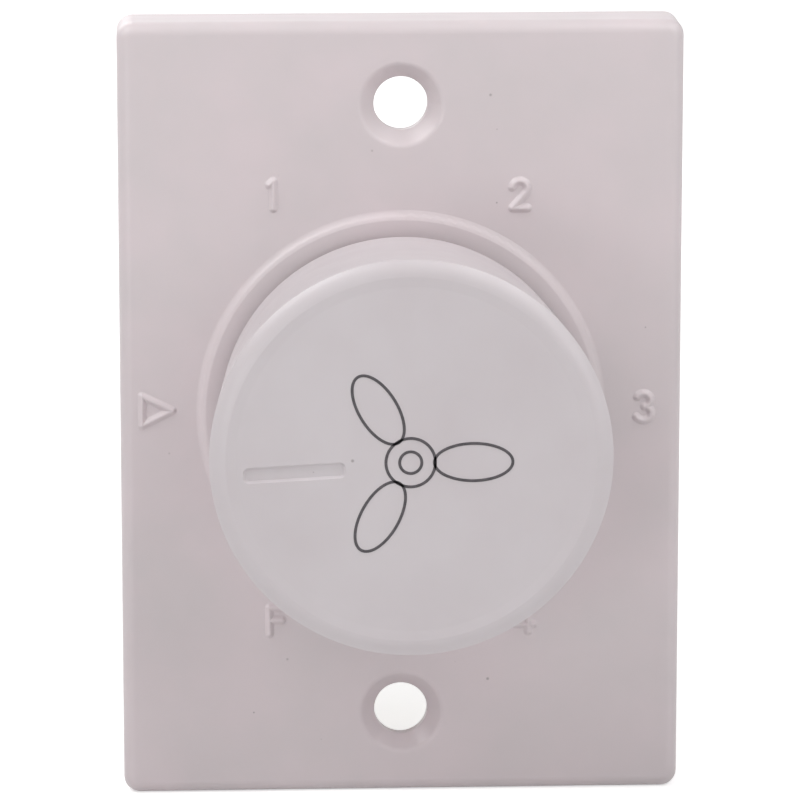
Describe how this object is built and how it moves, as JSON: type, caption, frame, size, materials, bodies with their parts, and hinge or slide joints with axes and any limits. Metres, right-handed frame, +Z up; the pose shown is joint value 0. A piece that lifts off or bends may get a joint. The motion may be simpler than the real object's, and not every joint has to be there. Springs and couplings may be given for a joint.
{
  "type": "fan speed control switch",
  "caption": "White flush-plate rotary fan speed regulator: rectangular plate with two countersunk holes, low round land, large round step knob, rear housing with two screw terminals.",
  "frame": {"origin": "on the knob's axis, midway between the two fixing holes, at the back of the plate's front wall", "axes": "-Y is the front, towards the user; +Z is up; +X is right as seen from the front. The plate's back rim is at y = 3.3 mm"},
  "size_m": [0.046, 0.0508, 0.0644],
  "materials": {
    "plate_white": "satin moulded white",
    "knob_white": "satin moulded white",
    "housing_white": "moulded off-white",
    "nylon": "natural nylon",
    "phenolic": "moulded phenolic",
    "board": "paper laminate",
    "capacitor_case": "moulded case",
    "resistor_grey": "lacquer",
    "resistor_tan": "lacquer",
    "brass": "machined",
    "bronze": "rolled strip",
    "spring_steel": "rolled strip",
    "spindle_steel": "drawn",
    "zinc_steel": "bright zinc"
  },
  "bodies": {
    "regulator": {"front_plate": "plate_white", "rear_housing": "housing_white", "housing_screws": "zinc_steel", "line_terminal": "brass", "load_terminal": "brass", "detent_spring": "spring_steel", "contact_base": "phenolic", "step_contacts": "brass", "common_contact": "brass", "circuit_board": "board", "capacitor_large": "capacitor_case", "capacitor_small": "capacitor_case", "surge_resistor_a": "resistor_grey", "surge_resistor_b": "resistor_grey", "bleed_resistor_a": "resistor_tan", "bleed_resistor_b": "resistor_tan"},
    "knob": {"knob": "knob_white", "spindle": "spindle_steel", "knob_spring_clip": "spring_steel", "spindle_circlip": "spring_steel", "thrust_washer": "spring_steel", "detent_rotor": "nylon", "wiper_contact": "bronze"},
    "line_clamp": {"line_screw": "zinc_steel"},
    "load_clamp": {"load_screw": "zinc_steel"}
  },
  "joints": [
    {"name": "knob_turn", "type": "hinge", "parent": "regulator", "child": "knob", "pos_m": [0, 0, 0], "axis": [0, 1, 0], "range_deg": [0, 300], "deforming": ["detent_spring"]},
    {"name": "line_clamp_travel", "type": "slide", "parent": "regulator", "child": "line_clamp", "axis": [0, -1, 0], "range_m": [0, 0.0022]},
    {"name": "load_clamp_travel", "type": "slide", "parent": "regulator", "child": "load_clamp", "axis": [0, -1, 0], "range_m": [0, 0.0022]}
  ]
}
